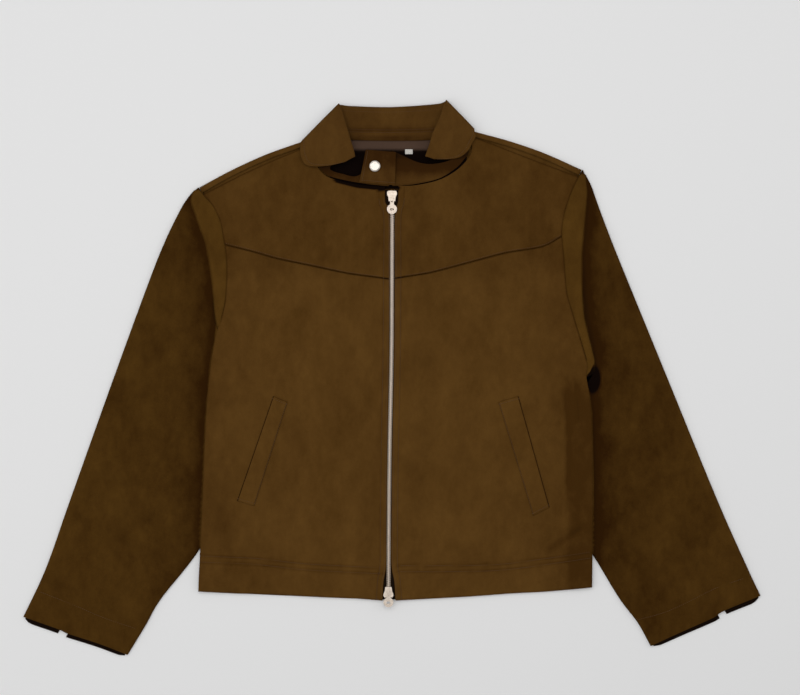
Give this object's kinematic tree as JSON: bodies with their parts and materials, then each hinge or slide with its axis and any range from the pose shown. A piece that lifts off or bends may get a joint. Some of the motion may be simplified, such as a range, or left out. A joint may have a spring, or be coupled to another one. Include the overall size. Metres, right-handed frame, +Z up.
{
  "type": "suede jacket",
  "caption": "Short suede zip jacket lying flat on its back, with a stand collar, throat tab, slanted welt pockets and loose sleeves.",
  "frame": {"origin": "middle of the jacket's bounding box, on the surface it lies on", "axes": "+Z up off the surface, +Y towards the collar, +X towards the wearer's left sleeve, which is on the viewer's right"},
  "size_m": [1.0516, 0.7877, 0.0196],
  "materials": {
    "suede": "soft napped brown suede, very matte",
    "sleeve_suede": "the same suede with its nap lying darker",
    "lining": "dark woven lining",
    "label": "blank woven label",
    "tape": "dark woven zip tape",
    "zip_teeth": "worn pale metal teeth",
    "metal": "worn pale metal"
  },
  "bodies": {
    "jacket": {"front_left": "suede", "front_right": "suede", "yoke_left": "suede", "yoke_right": "suede", "back": "suede", "sleeve_left_top": "sleeve_suede", "sleeve_left_under": "sleeve_suede", "sleeve_right_top": "sleeve_suede", "sleeve_right_under": "sleeve_suede", "collar_stand": "suede", "collar_leaf_left": "suede", "collar_leaf_right": "suede", "collar_under": "suede", "throat_tab": "suede", "welt_left": "suede", "welt_right": "suede", "neck_lining": "lining", "neck_label": "label", "zip_tape_left": "tape", "zip_tape_right": "tape", "zip_chain": "zip_teeth", "slider_top": "metal", "slider_bottom": "metal", "snap": "metal"},
    "top_pull": {"pull_top": "metal"},
    "bottom_pull": {"pull_bottom": "metal"}
  },
  "joints": [
    {"name": "top_pull_turn", "type": "hinge", "parent": "jacket", "child": "top_pull", "pos_m": [0, 0.2535, 0.0092], "axis": [-1, 0, 0], "range_deg": [0, 135]},
    {"name": "bottom_pull_turn", "type": "hinge", "parent": "jacket", "child": "bottom_pull", "pos_m": [-0.005, -0.303, 0.0092], "axis": [-1, 0, 0], "range_deg": [0, 135]}
  ]
}
